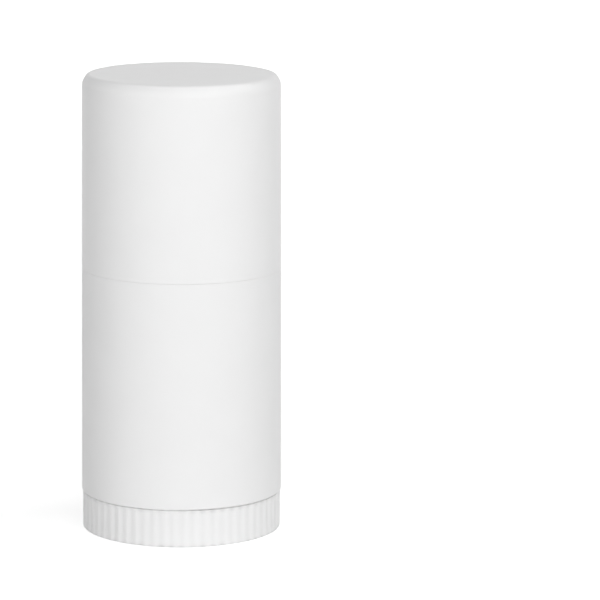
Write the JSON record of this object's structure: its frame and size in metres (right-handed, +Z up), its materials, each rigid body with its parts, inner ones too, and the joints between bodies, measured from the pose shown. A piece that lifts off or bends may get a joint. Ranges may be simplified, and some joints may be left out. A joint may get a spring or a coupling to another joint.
{
  "type": "lip balm stick",
  "caption": "Slim capped cylinder standing on a finely ribbed turning wheel, whose screw lifts a bullet of balm out of the neck.",
  "frame": {"origin": "middle of the foot ring, on the plane that the stick stands on", "axes": "+Z up the stick's axis to the cap; +X and +Y have no mark on a round stick"},
  "size_m": [0.0176, 0.0176, 0.0402],
  "materials": {
    "cap_shell": "white polypropylene, satin gloss",
    "barrel_shell": "white polypropylene, satin gloss",
    "wheel_moulding": "white polypropylene, satin gloss",
    "carrier_moulding": "white polypropylene, as moulded",
    "balm_wax": "soft wax, slightly translucent, smooth"
  },
  "bodies": {
    "barrel": {"barrel": "barrel_shell"},
    "wheel": {"turning_wheel": "wheel_moulding"},
    "carrier": {"carrier": "carrier_moulding", "balm": "balm_wax"},
    "cap": {"cap": "cap_shell"}
  },
  "joints": [
    {"name": "wheel_turn", "type": "hinge", "parent": "barrel", "child": "wheel", "pos_m": [0, 0, 0], "axis": [0, 0, 1], "range_deg": [0, 2520]},
    {"name": "carrier_lift", "type": "slide", "parent": "barrel", "child": "carrier", "axis": [0, 0, 1], "range_m": [0, 0.021]},
    {"name": "cap_pull", "type": "slide", "parent": "carrier", "child": "cap", "axis": [0, 0, 1], "range_m": [0, 0.02]}
  ],
  "couplings": [
    {"joint": "carrier_lift", "follows": "wheel_turn", "m_per_rad": 0.00047746}
  ]
}
